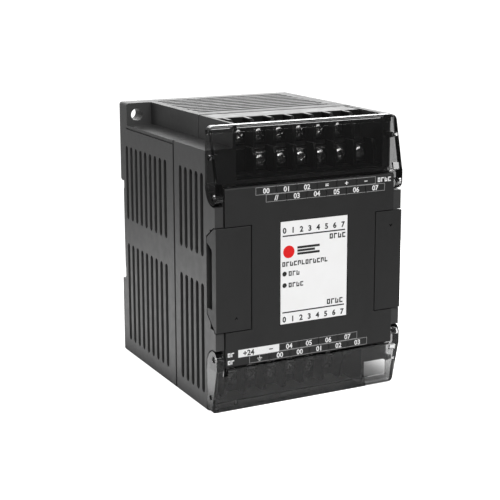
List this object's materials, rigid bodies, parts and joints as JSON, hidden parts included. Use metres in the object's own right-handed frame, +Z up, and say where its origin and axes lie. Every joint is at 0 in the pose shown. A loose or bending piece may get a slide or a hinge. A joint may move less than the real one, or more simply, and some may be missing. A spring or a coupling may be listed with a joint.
{
  "type": "programmable controller input output module",
  "caption": "Box-shaped DIN-rail input/output module with hinged smoked terminal covers, screw terminals, vented housing, port covers and a spring rail latch.",
  "frame": {"origin": "centre of the footprint on the bottom face", "axes": "+X to the viewer's right, +Y from the front towards the rail, +Z up"},
  "size_m": [0.07, 0.082, 0.095],
  "materials": {
    "housing_plastic": "fine-textured dark grey moulded plastic",
    "panel_plastic": "smooth matt charcoal moulded plastic",
    "label_sheet": "satin white printed film",
    "smoked_cover": "glossy smoked transparent polycarbonate",
    "latch_plastic": "black nylon",
    "terminal_plastic": "black moulded plastic",
    "plated_steel": "nickel-plated steel",
    "spring_steel": "drawn spring wire",
    "board_laminate": "green solder mask on glass-fibre board",
    "header_plastic": "black connector plastic",
    "chip_epoxy": "black epoxy",
    "ferrite": "sintered dark grey ferrite",
    "capacitor_can": "drawn aluminium can",
    "clear_guide": "clear acrylic"
  },
  "bodies": {
    "base": {"rear_housing": "housing_plastic", "front_housing": "housing_plastic", "front_panel": "panel_plastic", "label_plate": "label_sheet", "latch_spring": "spring_steel", "top_terminal_block": "terminal_plastic", "bottom_terminal_block": "terminal_plastic", "top_outer_screw_1": "plated_steel", "top_outer_screw_2": "plated_steel", "top_outer_screw_3": "plated_steel", "top_outer_screw_4": "plated_steel", "top_outer_screw_5": "plated_steel", "top_outer_screw_6": "plated_steel", "top_inner_screw_1": "plated_steel", "top_inner_screw_2": "plated_steel", "top_inner_screw_3": "plated_steel", "top_inner_screw_4": "plated_steel", "top_inner_screw_5": "plated_steel", "top_inner_screw_6": "plated_steel", "bottom_outer_screw_1": "plated_steel", "bottom_outer_screw_2": "plated_steel", "bottom_outer_screw_3": "plated_steel", "bottom_outer_screw_4": "plated_steel", "bottom_outer_screw_5": "plated_steel", "bottom_outer_screw_6": "plated_steel", "bottom_inner_screw_1": "plated_steel", "bottom_inner_screw_2": "plated_steel", "bottom_inner_screw_3": "plated_steel", "bottom_inner_screw_4": "plated_steel", "bottom_inner_screw_5": "plated_steel", "bottom_inner_screw_6": "plated_steel", "logic_board": "board_laminate", "power_board": "board_laminate", "board_header": "header_plastic", "left_port_header": "header_plastic", "right_port_header": "header_plastic", "input_light_guide": "clear_guide", "output_light_guide": "clear_guide", "power_light_guide": "clear_guide", "link_light_guide": "clear_guide", "processor_chip": "chip_epoxy", "bus_transceiver": "chip_epoxy", "output_driver": "chip_epoxy", "power_inductor": "ferrite", "storage_capacitor_1": "capacitor_can", "storage_capacitor_2": "capacitor_can", "board_screw_1": "plated_steel", "board_screw_2": "plated_steel", "board_screw_3": "plated_steel", "board_screw_4": "plated_steel"},
    "top_cover": {"top_terminal_cover": "smoked_cover"},
    "bottom_cover": {"bottom_terminal_cover": "smoked_cover"},
    "left_cap": {"left_port_cover": "panel_plastic"},
    "right_cap": {"right_port_cover": "panel_plastic"},
    "latch": {"rail_latch": "latch_plastic"}
  },
  "joints": [
    {"name": "top_cover_hinge", "type": "hinge", "parent": "base", "child": "top_cover", "pos_m": [0, -0.0387, 0.0728], "axis": [1, 0, 0], "range_deg": [0, 100]},
    {"name": "bottom_cover_hinge", "type": "hinge", "parent": "base", "child": "bottom_cover", "pos_m": [0, -0.0387, 0.0192], "axis": [-1, 0, 0], "range_deg": [0, 100]},
    {"name": "left_cap_pull", "type": "slide", "parent": "base", "child": "left_cap", "axis": [0, -1, 0], "range_m": [0, 0.015]},
    {"name": "right_cap_pull", "type": "slide", "parent": "base", "child": "right_cap", "axis": [0, -1, 0], "range_m": [0, 0.015]},
    {"name": "latch_slide", "type": "slide", "parent": "base", "child": "latch", "axis": [0, 0, -1], "range_m": [0, 0.0045], "stiffness_N_per_m": 700, "springref_m": -0.004, "deforming": ["latch_spring"]}
  ]
}
